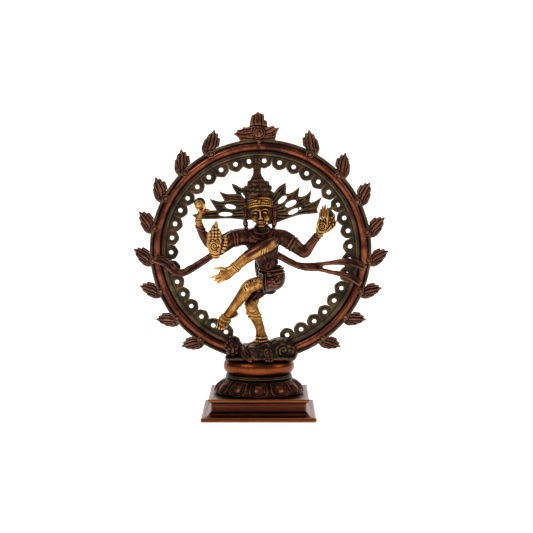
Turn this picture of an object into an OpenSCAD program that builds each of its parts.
// Brass dancing figure in a flaming ring, on a lotus pedestal and a stepped plinth.
// X runs to the figure's left hand, Y away from the front, Z up. The origin is on the surface that the
// plinth stands on, under the ring's centre. Figure positions are measured from the ring's centre.

/* [Plinth] */
// Width of the bottom step
plinth_w = 62; // [60:1:66]
// Depth of the bottom step
plinth_d = 50; // [48:1:54]
// Height of the plinth
plinth_h = 11.6; // [11.2:0.2:12.4]
// Thickness of the cast walls
wall = 2.4; // [2:0.2:3]

/* [Pedestal] */
// Half width of the lotus where it meets the plinth
lotus_r = 25; // [23:0.2:25.4]
// Depth of the lotus and the cushion, as a share of their width
oval = 0.8; // [0.76:0.01:0.82]
// Number of large lotus petals
petals = 12; // [10:2:14]
// Height of the underside of the cushion above the surface
cushion_z = 22.6; // [22.4:0.1:22.8]
// Half width of the cushion
cushion_r = 19.6; // [19:0.2:20]

/* [Ring] */
// Radius of the ring's outer rim
rim_r = 60.6; // [60:0.2:61]
// Height of the ring's centre above the surface
ring_z = 90; // [89.8:0.1:90.2]
// Thickness of the ring's flat band, front to back
band_t = 3.6; // [3:0.2:4.2]
// Number of flames on each side of the finial
flames_per_side = 8; // [6:1:8]
// Radius of the round holes in the loop border
loop_hole_r = 1.4; // [1.1:0.1:1.6]

/* [Hidden] */

copper = "#7a3b22";
olive = "#4a4230";
umber = "#3a241c";
brass = "#c08a3c";
steel = "silver";

axis_x = -1;                        // the pedestal, crown and finial stand a little to the ring's side
lotus_top_r = 18.6;
lotus_h = 8.6;
neck_r = 17.6;
cushion_h = 8;
cushion_top = cushion_z + cushion_h;
riser_w = 51;
top_step_w = 54.4;
step_gap = plinth_w - plinth_d;     // the steps keep the same margin on all four sides
stud_r = 2;
stud_bore_r = 2.2;
stud_z = 3.4;
peg_r = 1.6;
peg_bore_r = 1.65;
peg_x = 15.6;
band_inner_r = 50.6;
bead_r = 56.8;
bead_half = 1.9;
bead_h = 1.6;
loop_pitch = 9.4;
loop_count = 35;
first_loop = -157.4;
loop_line_r = 48.8;
loop_outer_r = 3.9;
ring_end = 164;                     // angle from the top at which each end of the ring stops
flame_angles_right = [27, 44, 61, 78, 95, 112, 129, 146];      // from the top, on the figure's right
flame_angles_left = [27, 46, 63, 80, 95, 112, 128, 145];       // set by hand, so not quite the same
flame_stretch = 0.9227;
boss_r = 1.9;
clear = 0.02;
far = 200;

// ---- shared shapes ----

// A point on the smooth curve through p0 to p3, t of the way from p1 to p2
function curve_point(p0, p1, p2, p3, t) =
    0.5 * (2 * p1 + (p2 - p0) * t + (2 * p0 - 5 * p1 + 4 * p2 - p3) * t * t
        + (3 * p1 - p0 - 3 * p2 + p3) * t * t * t);

// Stations joined by a smooth curve. A station is [x, y, z, half width, half depth]
function smoothed(s, between) = concat(
    [for (i = [0:len(s) - 2], k = [0:between])
        curve_point(s[max(i - 1, 0)], s[i], s[i + 1], s[min(i + 2, len(s) - 1)], k / (between + 1))],
    [s[len(s) - 1]]);

function place(s) = [s[0], s[1], s[2]];
function unit(v) = v / norm(v);

// A closed solid through rings of points, each ring clockwise as seen from the far end
module skin(rings) {
    sides = len(rings[0]);
    last = len(rings) - 1;
    walls = [for (i = [0:last - 1], j = [0:sides - 1])
        let (a = i * sides + j, b = i * sides + (j + 1) % sides)
        each [[a, b, b + sides], [a, b + sides, a + sides]]];
    start_cap = [for (j = [sides - 1:-1:0]) j];
    end_cap = [for (j = [0:sides - 1]) last * sides + j];
    polyhedron([for (r = rings) each r], concat(walls, [start_cap, end_cap]), convexity = 8);
}

// A closed, smooth limb through its stations, with oval rings square to its path
module limb(stations, sides = 10, between = 1) {
    s = smoothed(stations, between);
    last = len(s) - 1;
    skin([for (i = [0:last])
        let (along = unit(place(s[min(i + 1, last)]) - place(s[max(i - 1, 0)])),
             across = unit(cross(along, [0, 1, 0])),
             deep = cross(across, along))
        [for (j = [0:sides - 1])
            let (a = 360 * j / sides)
            place(s[i]) + across * s[i][3] * cos(a) + deep * s[i][4] * sin(a)]]);
}

// An oval solid from its outline of [half width, height] points, from the bottom up
module oval_turned(outline, sides = 48) {
    skin([for (p = outline)
        [for (j = [0:sides - 1])
            let (a = 360 * j / sides)
            [-p[0] * cos(a), oval * p[0] * sin(a), p[1]]]]);
}

// Children moved from the ring's centre to their place
module in_ring() {
    translate([0, 0, ring_z]) children();
}

// The first child, cut back to where it meets the others
module butted() {
    difference() {
        children(0);
        for (i = [1:$children - 1]) children(i);
    }
}

// An upright plate in the XZ plane between two depths, from a flat shape
module plate(front, back) {
    translate([0, back, 0]) rotate([90, 0, 0]) linear_extrude(back - front) children();
}

function oval_points(c, a, b, tilt, n = 16) = [for (i = [0:n - 1])
    let (u = a * cos(360 * i / n), v = b * sin(360 * i / n))
    [c[0] + u * cos(tilt) - v * sin(tilt), c[1] + u * sin(tilt) + v * cos(tilt)]];

// ---- plinth and pedestal ----

// Right half of the plinth's outline, from its foot up, for a side whose bottom step is w wide
function step_outline(w) = [
    [w / 2, 0], [w / 2, 1.8], [w / 2 - 0.6, 2.4], [w / 2 - 2.6, 2.9], [w / 2 - 4.2, 3.6],
    [w / 2 - 5.5, 4.8], [w / 2 - 5.5, plinth_h - 2.1], [w / 2 - 4.2, plinth_h - 1.6],
    [w / 2 - 3.8, plinth_h - 0.6], [w / 2 - 4.2, plinth_h]];

module moulded_bar(w, length) {
    right = step_outline(w);
    left = [for (i = [len(right) - 1:-1:0]) [-right[i][0], right[i][1]]];
    rotate([90, 0, 0]) linear_extrude(length, center = true) polygon(concat(right, left));
}

module plinth() {
    inner_w = riser_w - 2 * wall;
    inner_d = inner_w - step_gap;
    color(copper) translate([axis_x, 0, 0]) difference() {
        intersection() {
            moulded_bar(plinth_w, plinth_d + 2);
            rotate([0, 0, 90]) moulded_bar(plinth_d, plinth_w + 2);
        }
        translate([-inner_w / 2, -inner_d / 2, -1]) cube([inner_w, inner_d, plinth_h - wall + 1]);
        cylinder(r = stud_bore_r, h = plinth_h + 1, $fn = 48);
    }
}

// The lotus: a drooping dome whose petals stand out of it, each with a raised middle and a rim
function petal_share(a) = abs((a * petals / 360 + 0.5) % 1 - 0.5) * 2;
function dome_r(t) = lotus_r - (lotus_r - lotus_top_r) * pow(t, 2.2);
function petal_relief(u, t) = t > 0.86 ? 0
    : let (e = max(u, abs(t - 0.42) / 0.46)) e < 0.62 ? 0.9 : e < 0.74 ? 0.25 : e < 0.9 ? 0.8 : 0;

module stud_bore() {
    translate([0, 0, -1]) cylinder(r = stud_bore_r, h = far, $fn = 48);
}

module lotus_pedestal() {
    rows = 9;
    sides = petals * 10;
    color(umber) translate([axis_x, 0, 0]) difference() {
        skin([for (i = [0:rows])
            let (t = i / rows)
            [for (j = [0:sides - 1])
                let (a = 360 * j / sides,
                     r = dome_r(t) - 0.8 + petal_relief(petal_share(a), t) - (i == 0 ? 1.2 : 0))
                [-r * cos(a), oval * r * sin(a), plinth_h + t * lotus_h]]]);
        stud_bore();
    }
}

module neck_band() {
    z0 = plinth_h + lotus_h;
    h = cushion_z - z0;
    color(olive) translate([axis_x, 0, 0]) difference() {
        oval_turned([[neck_r + 0.4, z0], [neck_r + 0.9, z0 + h * 0.2], [neck_r, z0 + h * 0.4],
            [neck_r + 0.5, z0 + h * 0.65], [neck_r - 0.6, z0 + h]]);
        stud_bore();
    }
}

module cushion_disc() {
    bulge = cushion_h / 2;
    color(copper) difference() {
        translate([axis_x, 0, 0]) oval_turned([for (a = [-90:22.5:90])
            [cushion_r - bulge + bulge * cos(a), cushion_z + bulge + bulge * sin(a)]]);
        translate([axis_x, 0, 0]) stud_bore();
        for (side = [-1, 1])
            translate([side * peg_x, 0, cushion_top - 5]) cylinder(r = peg_bore_r, h = 6, $fn = 48);
    }
}

// ---- the stud that ties the pedestal together, from inside the plinth ----

module tie_stud() {
    color(steel) translate([axis_x, 0, stud_z]) cylinder(r = stud_r, h = cushion_top + 4 - stud_z, $fn = 48);
}

module tie_washer() {
    z0 = plinth_h - wall - 0.8;
    color(steel) translate([axis_x, 0, z0]) difference() {
        cylinder(r = 4.5, h = 0.8, $fn = 48);
        translate([0, 0, -1]) cylinder(r = stud_bore_r, h = 3, $fn = 48);
    }
}

module tie_nut() {
    nut_h = 3.2;
    z0 = plinth_h - wall - 0.8 - nut_h;
    color(steel) translate([axis_x, 0, z0]) difference() {
        cylinder(r = 4.04, h = nut_h, $fn = 6);
        translate([0, 0, -1]) cylinder(r = stud_r + clear, h = nut_h + 2, $fn = 48);
    }
}

// ---- the dwarf under the figure's foot ----

module below_cushion() {
    translate([-far / 2, -far / 2, cushion_top - far]) cube([far, far, far]);
}

module stud_socket() {
    translate([axis_x, 0, cushion_top - 1]) cylinder(r = stud_r + clear, h = 5.2, $fn = 48);
}

module dwarf_trunk() {
    in_ring() limb([[-12, -3, -53, 2.6, 3], [-9, -3.4, -54, 4, 5.6], [-3, -3.6, -55, 4.6, 7],
        [4, -3.4, -54.6, 4.8, 6.6], [9, -3, -52.6, 5.6, 6.2], [14, -2.6, -53, 5, 5.4], [17.4, -2, -55.4, 3, 4]],
        sides = 14);
}

module ring_sockets() {
    for (side = [-1, 1])
        translate([side * peg_x, 0, cushion_top - 1]) cylinder(r = peg_bore_r, h = 20, $fn = 48);
}

module dwarf_body() {
    color(olive) butted() {
        dwarf_trunk();
        below_cushion();
        stud_socket();
        ring_foot();
        in_ring() foot_shape();
    }
}

module dwarf_skull() {
    in_ring() limb([[-15.2, -6, -57.2, 2.2, 2.2], [-15, -6.4, -55.4, 3.6, 3.6], [-14.6, -6.6, -52.4, 4.5, 4.2],
        [-14.4, -6.2, -49.4, 3.6, 3.6], [-14.4, -6, -47.8, 1.4, 1.6]]);
}

module dwarf_head() {
    color(umber) butted() {
        dwarf_skull();
        dwarf_trunk();
        below_cushion();
        ring_foot();
    }
}

module dwarf_limbs() {
    color(umber) butted() {
        in_ring() union() {
            limb([[-9.6, -9, -53.6, 1.6, 1.6], [-8.4, -11.6, -56, 1.7, 1.6], [-7, -12.6, -58, 1.3, 1.2]]);
            limb([[-5.4, -9.8, -53.2, 1.5, 1.4], [-4, -11.6, -55, 1.7, 1.5], [-2.6, -12.2, -57.4, 1.4, 1.2]]);
            limb([[3.4, -9.6, -52.6, 2.2, 1.8], [4.2, -11.4, -55.4, 2.3, 1.8], [4.6, -12, -58, 1.6, 1.4]]);
        }
        dwarf_trunk();
        below_cushion();
    }
}

// ---- the ring ----

// Children turned to an angle from the top, clockwise seen from the front
module at_angle(a) {
    in_ring() rotate([0, a, 0]) children();
}

// A strip round the ring from a flat outline of [radius, distance forward of the ring's middle] points
module ring_sweep(outline, from, to) {
    in_ring() rotate([90, 0, 0]) rotate([0, 0, 90 - to]) rotate_extrude(angle = to - from, $fn = 180)
        polygon(outline);
}

module band_strip() {
    h = band_t / 2;
    ring_sweep([[band_inner_r, -h * 0.7], [band_inner_r + 0.5, -h * 0.8], [54, -h * 0.8],
        [54.4, -h * 0.6], [58.6, -h * 0.6], [59, -h], [rim_r - 0.5, -h], [rim_r, -h * 0.7],
        [rim_r, h * 0.7], [rim_r - 0.5, h], [59, h], [58.6, h * 0.6], [54.4, h * 0.6],
        [54, h * 0.8], [band_inner_r + 0.5, h * 0.8], [band_inner_r, h * 0.7]], -ring_end, ring_end);
}

module ring_foot() {
    for (side = [-1, 1])
        translate([side * peg_x, 0, cushion_top - 4.6]) cylinder(r = peg_r, h = 9, $fn = 48);
    band_strip();
}

module ring_band() {
    color(olive) ring_foot();
}

// The half round that stands on the front of the band, a little short of the band's ends
module ring_moulding() {
    seat = band_t * 0.3 + clear;
    color(copper) ring_sweep([for (a = [0:15:180]) [bead_r - bead_half * cos(a), seat + bead_h * sin(a)]],
        -ring_end + 2, ring_end - 2);
}

module loop_border() {
    centres = [for (k = [0:loop_count - 1]) first_loop + k * loop_pitch];
    color(olive) plate(-1.2, 1.2) translate([0, ring_z]) difference() {
        union() {
            for (a = centres) rotate(-a) translate([0, loop_line_r]) circle(r = loop_outer_r, $fn = 48);
        }
        for (a = centres) rotate(-a) translate([0, loop_line_r]) circle(r = loop_hole_r, $fn = 32);
        difference() {
            circle(r = rim_r + 5, $fn = 180);
            circle(r = band_inner_r - clear, $fn = 180);
        }
    }
}

// A flame of five tongues in its own frame: base at the origin, pointing up, tip leaning to +X
function flame_outline(s) = [for (p = [
    [-1.5, -0.6], [-2.5, 1.8], [-2.9, 4.2], [-2.6, 6.2], [-1.7, 5.7], [-1.2, 8.1], [0, 7.7], [2.2, 11],
    [2.6, 8.2], [3.5, 8.3], [3.2, 6], [3.9, 5.4], [3, 3], [1.9, 1.2], [1.5, -0.6]])
    [p[0], p[1] * s]];

// side is -1 for the figure's right and 1 for its left
module flame(k, side) {
    a = (side > 0 ? flame_angles_left : flame_angles_right)[k - 1];
    grow = 1.14 - 0.03 * k;
    lean = k <= 4 ? 18 : 14;
    color(umber) at_angle(side * a) translate([0, 0, rim_r - 0.1]) butted() {
        mirror([side > 0 ? 1 : 0, 0, 0]) union() {
            rotate([0, lean, 0]) plate(-1.3, 1.3) polygon(flame_outline(grow * flame_stretch));
            translate([0, -1.2, -0.2]) rotate([90, 0, 0]) cylinder(r = boss_r, h = 1.2, $fn = 32);
        }
        translate([0, 0, -rim_r + 0.1]) rotate([90, 0, 0]) cylinder(r = rim_r, h = 10, center = true, $fn = 180);
    }
}

// The crest at the top: two spread side leaves and a stepped middle, each point [x, height above the rim]
finial_outline = [
    [-9.3, -1.6], [-11.9, 1.2], [-13.5, 2.3], [-11.4, 3.4], [-10.2, 5], [-7.6, 4.6], [-6, 6.2], [-4.4, 6.4],
    [-4.2, 9], [-3.4, 9.6], [-3.8, 12.2], [-1.8, 13.6], [0, 14.5], [1.2, 13.4], [3.1, 11.8], [3.2, 9.9],
    [4.2, 9], [3.8, 7.6], [5.2, 6.8], [7.6, 5.6], [10.8, 5.7], [9.4, 3.6], [8.8, 1.8], [7.6, -1.6]];

module ring_finial() {
    color(copper) butted() {
        translate([axis_x, 0, ring_z + rim_r]) {
            plate(-1.6, 1.6) polygon(finial_outline);
            translate([0, -1.6, 3.2]) rotate([90, 0, 0]) cylinder(r = 3.1, h = 1.4, $fn = 48);
        }
        in_ring() rotate([90, 0, 0]) cylinder(r = rim_r, h = 20, center = true, $fn = 180);
    }
}

// ---- the figure ----

module torso_shape() {
    limb([[0.4, -3, 13.4, 2.5, 2.5], [0.5, -2.6, 11.4, 3.4, 3], [0.5, -2.2, 9.6, 8, 3.8],
        [0.8, -2.2, 6.4, 9.8, 4.8], [2, -2.4, 1.4, 8.2, 4.9], [3.4, -2.2, -4, 6.4, 4.2],
        [4.2, -2, -8, 5.4, 3.9], [5, -2, -11.4, 6, 4.2]], sides = 12);
}

module hips_shape() {
    limb([[4.4, -2, -9.2, 5.7, 4.3], [5.6, -2, -12, 7.2, 5.2], [5.9, -2.2, -15, 7.7, 5.8],
        [6, -2.4, -18, 6.6, 5.4], [5.4, -2.4, -20.4, 3.6, 3.6]], sides = 12);
}

module thigh_sleeves() {
    limb([[8, -3, -15, 3.6, 4], [4.6, -5.6, -16.6, 4.6, 4.2], [1.6, -7.4, -17.2, 4.4, 4.2]]);
    limb([[5.4, -2.4, -17, 4.6, 4.2], [0.8, -2.4, -20.4, 4, 4.2], [-3.2, -2.4, -24.6, 4.1, 4.2],
        [-5, -2.4, -28, 3.9, 3.9]]);
}

module torso() {
    color(umber) in_ring() butted() {
        torso_shape();
        hips_shape();
    }
}

module hip_cloth() {
    color(umber) in_ring() union() {
        hips_shape();
        thigh_sleeves();
    }
}

module cloth_tail() {
    color(olive) in_ring() butted() {
        limb([[-1, 0.6, -2.6, 2, 1], [-1.6, 0.6, -7, 1.8, 1], [-1.6, 0.6, -11, 1.5, 1], [-1.2, 0.4, -13.6, 1.4, 1]],
            sides = 10);
        torso_shape();
        hips_shape();
    }
}

module necklace() {
    color(umber) in_ring() butted() {
        union() {
            for (drop = [0, 2.2])
                translate([0.4, -3.4, 9.8 - drop]) rotate([62, 0, 0])
                    rotate_extrude($fn = 40) translate([4.6 + drop, 0]) circle(r = 0.7, $fn = 16);
        }
        torso_shape();
        head_shape();
        translate([-far / 2, -1, -far / 2]) cube(far);
    }
}

module head_shape() {
    limb([[0.4, -5.6, 12.9, 1.2, 1.2], [0.3, -5.2, 14.2, 3, 3], [0.1, -4.8, 17, 4.7, 4.6],
        [0, -4.4, 21, 5.7, 5.4], [-0.3, -4.2, 25, 6.2, 5.6], [-0.6, -4, 28, 5.8, 5.2],
        [-0.8, -4, 29.4, 4.6, 4.2]], sides = 14);
}

module head() {
    color(brass) in_ring() butted() {
        head_shape();
        torso_shape();
    }
}

module earrings() {
    color(umber) in_ring() butted() {
        union() {
            for (x = [-8.2, 7.4])
                limb([[x, -3, 24, 1.2, 1], [x * 1.05, -3, 20, 1.4, 1.2], [x * 1.04, -3, 15.4, 1.5, 1.3],
                    [x * 0.98, -2.6, 12, 1.2, 1], [x * 0.9, -2.4, 9, 0.9, 0.8]], sides = 8);
        }
        head_shape();
        torso_shape();
        fan_plates();
    }
}

module crown_shape() {
    limb([[-0.9, -3.2, 28.2, 6.6, 5], [-1.4, -2.8, 31.4, 7.6, 5], [-1.8, -2.2, 34.6, 7.2, 4.4],
        [-1.8, -1.6, 38, 5, 3.6], [-1.9, -1, 41, 2.4, 2.4]], sides = 14);
}

module crown() {
    color(olive) in_ring() butted() {
        union() {
            crown_shape();
            translate([-1.8, -5.4, 33.4]) rotate([90, 0, 0]) cylinder(r = 1, h = 2, $fn = 24);
        }
        head_shape();
    }
}

module crown_post() {
    color(umber) butted() {
        in_ring() limb([[-1.9, -1, 40, 2, 2], [-1.9, -1, 43.4, 2.2, 1.8], [-1.9, -1.4, 46.4, 2.4, 1.4],
            [-1.9, -1.6, 49.6, 1.6, 1]], sides = 12);
        in_ring() crown_shape();
        loop_border();
        band_strip();
    }
}

// The flying locks of hair, drawn flat: four pointed tongues on each side, joined by their webs
fan_right_outline = [
    [-4, 31], [-9.8, 34.2], [-12, 35.8], [-15.9, 36.9], [-15, 34.2], [-13.4, 30.8], [-18, 31.2], [-22.9, 32.8],
    [-21.6, 30.2], [-19.5, 27.3], [-24, 27.1], [-28, 28.5], [-26.6, 25.4], [-24.3, 22.1], [-29.5, 21.4],
    [-37.6, 19.3], [-37.2, 18], [-34, 17], [-26, 17.1], [-17, 17.4], [-8, 16.6], [-4, 17]];
fan_left_outline = [
    [4, 31], [6.2, 30.2], [8.8, 33.8], [13.6, 37.1], [13.8, 31.4], [17.2, 32.4], [21.4, 35.1],
    [20.4, 29.6], [23.6, 30.4], [27.7, 33.4], [26.2, 26.6], [29.6, 27.2], [33.6, 29.7], [31.4, 24],
    [32.6, 20.2], [26, 19.4], [20, 18.6], [14.6, 17.2], [9.2, 15], [4, 14]];

// Slots between the locks, each [x, z, half length, half width, tilt]
fan_right_slots = [[-16.5, 23.8, 2.8, 0.95, -10], [-19, 19.7, 3.4, 1, 0], [-9.1, 29.7, 2, 0.5, -48]];
fan_left_slots = [[11.8, 27.7, 2.9, 1.2, 42], [16.4, 25.3, 3.1, 1.4, 26], [17.9, 21.4, 3, 1.2, 25]];

module fan_plates() {
    plate(-0.9, 1.1) fan_flat(fan_right_outline, fan_right_slots);
    plate(-0.9, 1.1) fan_flat(fan_left_outline, fan_left_slots);
}

module fan_flat(outline, slots) {
    difference() {
        polygon(outline);
        for (s = slots) polygon(oval_points([s[0], s[1]], s[2], s[3], s[4]));
    }
}

module fan_fitted(outline, slots) {
    color(olive) in_ring() butted() {
        plate(-0.9, 1.1) fan_flat(outline, slots);
        head_shape();
        crown_shape();
    }
}

module hair_fan_right() {
    fan_fitted(fan_right_outline, fan_right_slots);
}

module hair_fan_left() {
    fan_fitted(fan_left_outline, fan_left_slots);
}

// ---- arms ----

module drum_arm_shape() {
    limb([[-6, 0.4, 8.2, 3.4, 2.6], [-13, 0.8, 8, 3.4, 2.6], [-20, 1, 5.6, 3, 2.5], [-25.6, 0.6, 2.8, 2.7, 2.4],
        [-29, 0, 5, 2.5, 2.3], [-31.6, -0.6, 9.4, 2.3, 2.1], [-33.2, -1.2, 13.6, 2, 1.9]]);
}

module drum_arm() {
    color(umber) in_ring() butted() {
        drum_arm_shape();
        torso_shape();
        abhaya_arm_shape();
        sash_right_shape();
    }
}

module drum_hand_shape() {
    limb([[-33.2, -1.3, 13.2, 2.1, 2], [-33.7, -1.9, 16.6, 1.8, 1.8], [-32.9, -2.4, 20, 1.6, 1.6],
        [-31, -2.6, 22.4, 1.8, 1.6], [-29, -2.4, 22.8, 1, 1]], sides = 10);
}

module drum_hand() {
    color(brass) in_ring() butted() {
        drum_hand_shape();
        drum_arm_shape();
        fan_plates();
    }
}

module drum() {
    color(brass) in_ring() butted() {
        union() {
            translate([-33.4, -3.4, 25.2]) sphere(r = 2.5, $fn = 32);
            translate([-33, -1.6, 25.8]) rotate([90, 0, 0]) cylinder(r1 = 3.2, r2 = 2.4, h = 2, $fn = 32);
        }
        drum_hand_shape();
        fan_plates();
    }
}

module abhaya_arm_shape() {
    limb([[-5, -3.4, 7.4, 4.4, 3.4], [-11, -4.2, 7.4, 4.5, 3.4], [-16, -5, 6, 4.2, 3.3], [-19.6, -6, 3, 3.6, 3],
        [-22, -7.4, 0.4, 2.6, 2.5]]);
}

module abhaya_hand_shape() {
    limb([[-24, -8.2, -2.2, 2, 1.6], [-24.4, -8.2, 0.6, 3, 2.2], [-24.8, -8.2, 5, 3.3, 2.2],
        [-24.7, -8.2, 9.6, 3.5, 2], [-24.3, -8.2, 12.6, 2.6, 1.5], [-24.3, -8.2, 16.5, 0.4, 0.4]]);
}

module abhaya_arm() {
    color(umber) in_ring() butted() {
        abhaya_arm_shape();
        torso_shape();
        abhaya_hand_shape();
    }
}

module abhaya_hand() {
    color(brass) in_ring() abhaya_hand_shape();
}

module cobra_coil() {
    color(brass) in_ring() butted() {
        limb([[-20.6, -8.6, 0.4, 1.4, 1.3], [-19.2, -9, 3.4, 1.5, 1.4], [-18.6, -8.8, 6, 1.5, 1.4],
            [-18.9, -8.4, 8.4, 0.8, 0.8]], sides = 10);
        abhaya_arm_shape();
        abhaya_hand_shape();
    }
}

module crossing_arm_shape() {
    limb([[7.4, -5, 5.4, 2.6, 2.6], [5, -7.6, 4.4, 3.6, 3.2], [1, -9.4, 2, 3.5, 3], [-4, -10, -0.8, 3.3, 2.8],
        [-9.2, -10, -4.2, 3, 2.5], [-13.6, -10, -8.2, 2.6, 2.1], [-16.4, -10, -10.4, 2.7, 1.8],
        [-19.6, -10.2, -12.3, 3.7, 1.6], [-22, -10.4, -14.4, 2.6, 1.3], [-22.9, -10.5, -16.2, 1, 0.8]]);
}

module crossing_arm() {
    color(brass) in_ring() butted() {
        union() {
            crossing_arm_shape();
            limb([[-18.6, -10.4, -10.6, 1.3, 1.1], [-21.6, -10.8, -8.9, 1.1, 1], [-24.9, -11, -8.7, 0.5, 0.5]],
                sides = 10);
            limb([[-20.6, -10.4, -13, 1.6, 1.1], [-23.6, -10.8, -13.2, 1.1, 1], [-26.9, -11, -13.7, 0.5, 0.5]],
                sides = 10);
        }
        torso_shape();
    }
}

module crossing_bracelet() {
    color(brass) in_ring() butted() {
        limb([[-12.6, -10, -7, 2.9, 2.5], [-12.9, -10, -7.4, 3.3, 2.8], [-14.6, -10, -9.1, 3.2, 2.6],
            [-14.9, -10, -9.5, 2.9, 2.2]], between = 1);
        crossing_arm_shape();
    }
}

module flame_arm_shape() {
    limb([[7, -1.6, 8, 3.6, 3.2], [12, -1.4, 7, 4, 3.2], [17, -1, 3.6, 3.9, 3.2], [21, -0.8, 0.6, 3.2, 2.8],
        [24, -0.8, -1, 2.9, 2.5], [26.6, -0.9, 2.4, 2.5, 2.3], [29.2, -1.2, 6, 2.1, 2], [31.8, -1.8, 9.2, 1.8, 1.7]]);
}

module flame_hand_shape() {
    limb([[32, -2, 8, 1.7, 1.5], [32.7, -2.6, 11.6, 2.5, 1.7], [33.7, -3, 16.4, 2.6, 1.5],
        [34.5, -3, 20.6, 2.4, 1.3], [34.6, -3, 24.3, 1, 0.8]]);
}

module flame_arm() {
    color(umber) in_ring() butted() {
        flame_arm_shape();
        torso_shape();
        flame_hand_shape();
    }
}

// The hand that holds the flame, with the flame and the small strut that ties it to the ring
module flame_hand() {
    color(brass) butted() {
        in_ring() union() {
            flame_hand_shape();
            limb([[33.6, -2.6, 9.6, 1, 1], [36.9, -2.6, 12.8, 2, 1.3], [39, -2.4, 16.6, 2, 1.2],
                [40, -2.2, 19.6, 0.5, 0.5]], sides = 10);
            limb([[34.6, -2.4, 21.6, 1, 0.9], [37.4, -1.6, 23.4, 0.9, 0.9], [40.6, -1, 24.4, 1, 0.9]], sides = 8);
        }
        in_ring() fan_plates();
        loop_border();
    }
}

// ---- legs ----

module standing_leg_shape() {
    limb([[-3.6, -2.4, -25.6, 3.4, 3.3], [-5, -2.8, -28.6, 3.6, 3.5], [-5, -3, -31, 3.5, 3.5],
        [-3.9, -2.6, -34, 3.6, 3.4], [-2, -2.2, -38, 3, 3], [-0.5, -2, -42, 2.6, 2.7], [0, -2, -45, 2.8, 2.8],
        [0.5, -2, -48, 3.4, 3.2], [0.6, -2, -50, 3.4, 3.2]]);
}

module foot_shape() {
    limb([[4, -2.2, -50.6, 1.3, 2.4], [1, -2.6, -50.4, 1.7, 3], [-3.6, -3.6, -50.8, 1.3, 3],
        [-7, -4.4, -51.2, 0.7, 2.2]], sides = 12);
}

module standing_leg() {
    color(brass) in_ring() butted() {
        union() {
            standing_leg_shape();
            foot_shape();
        }
        thigh_sleeves();
    }
}

module knee_band() {
    color(brass) in_ring() butted() {
        limb([[-4, -2.6, -34.2, 3.7, 3.6], [-3.8, -2.6, -34.7, 4.2, 4], [-3.3, -2.5, -36.2, 4, 3.8],
            [-3, -2.5, -36.8, 3.6, 3.5]], between = 1);
        standing_leg_shape();
    }
}

module raised_leg_shape() {
    limb([[2.6, -7.2, -17.2, 3.6, 3.6], [-2, -8.8, -17, 3.6, 3.6], [-6.4, -9.4, -18.8, 3.7, 3.6],
        [-9, -9, -22.4, 3.4, 3.4], [-11.6, -8.4, -26, 3, 3.2], [-15.2, -7.6, -31, 2.6, 2.6],
        [-17.8, -6.8, -34.6, 2.5, 2.4], [-19.2, -6.8, -37, 3.2, 2.6], [-20.8, -7.2, -39.8, 3.3, 2],
        [-21.7, -7.4, -41.6, 2.9, 1.2]]);
}

module raised_leg() {
    color(brass) in_ring() butted() {
        raised_leg_shape();
        thigh_sleeves();
    }
}

module raised_anklet() {
    color(brass) in_ring() butted() {
        union() {
            limb([[-16.2, -7.2, -32.6, 2.9, 2.8], [-16.4, -7.2, -32.9, 3.3, 3.1], [-17.4, -7, -34.2, 3.2, 3],
                [-17.7, -7, -34.6, 2.8, 2.7]], between = 1);
            translate([-14.4, -7.4, -33]) sphere(r = 1.1, $fn = 24);
        }
        raised_leg_shape();
    }
}

// ---- the flying sash ----

module sash_right_shape() {
    limb([[-7, 0.6, 4.8, 1.8, 1.2], [-14, 0.4, 4.6, 1.9, 1.2], [-20, -0.4, 1, 2, 1.2], [-26, -1, -2.4, 2, 1.3],
        [-31, -1.6, -5.6, 2.1, 1.4], [-38, -2.4, -9.9, 2.2, 1.4], [-42.6, -3, -12, 2.2, 1.3],
        [-46.6, -3.6, -11, 2.4, 1.2], [-50, -3.8, -7.4, 2.6, 1.1], [-53.2, -4.6, -5.2, 2.6, 1.1],
        [-57, -4.8, -4.6, 2.2, 1.1]], sides = 10);
}

module sash_right() {
    color(umber) butted() {
        in_ring() sash_right_shape();
        in_ring() torso_shape();
        in_ring() abhaya_arm_shape();
        in_ring() abhaya_hand_shape();
        band_strip();
        ring_moulding();
        loop_border();
    }
}

module sash_left() {
    color(umber) butted() {
        in_ring() union() {
            limb([[6, -1, -0.5, 2, 1.3], [10, -1, -2.8, 2, 1.3], [14.3, -1, -5.2, 2, 1.3], [20.7, -1.2, -8.2, 2, 1.3],
                [27, -1.4, -8.9, 2.6, 1.3], [32.6, -1.6, -8.8, 2.9, 1.2], [34, -1.7, -8.8, 2.6, 1]], sides = 10);
            limb([[31, -1.6, -7, 1.2, 1.1], [39, -2, -6.5, 1.4, 1.2], [46, -2.8, -5.9, 2.2, 1.2],
                [51.4, -3.4, -6.6, 2.2, 1.1], [56.4, -4.8, -8.8, 2, 1]], sides = 10);
            limb([[31, -1.6, -10.3, 1.2, 1.1], [38, -2, -11.6, 1.3, 1.2], [45, -2.8, -12.9, 1.7, 1.2],
                [49.6, -3.4, -14.6, 2, 1.1], [54, -4.8, -17.4, 2, 1]], sides = 10);
        }
        in_ring() torso_shape();
        in_ring() hips_shape();
        band_strip();
        ring_moulding();
        loop_border();
    }
}

plinth();
lotus_pedestal();
neck_band();
cushion_disc();
tie_stud();
tie_washer();
tie_nut();
dwarf_body();
dwarf_head();
dwarf_limbs();
ring_band();
ring_moulding();
loop_border();
ring_finial();
for (k = [1:flames_per_side]) {
    flame(k, -1);
    flame(k, 1);
}
torso();
hip_cloth();
cloth_tail();
necklace();
head();
earrings();
crown();
crown_post();
hair_fan_right();
hair_fan_left();
drum_arm();
drum_hand();
drum();
abhaya_arm();
abhaya_hand();
cobra_coil();
crossing_arm();
crossing_bracelet();
flame_arm();
flame_hand();
standing_leg();
knee_band();
raised_leg();
raised_anklet();
sash_right();
sash_left();
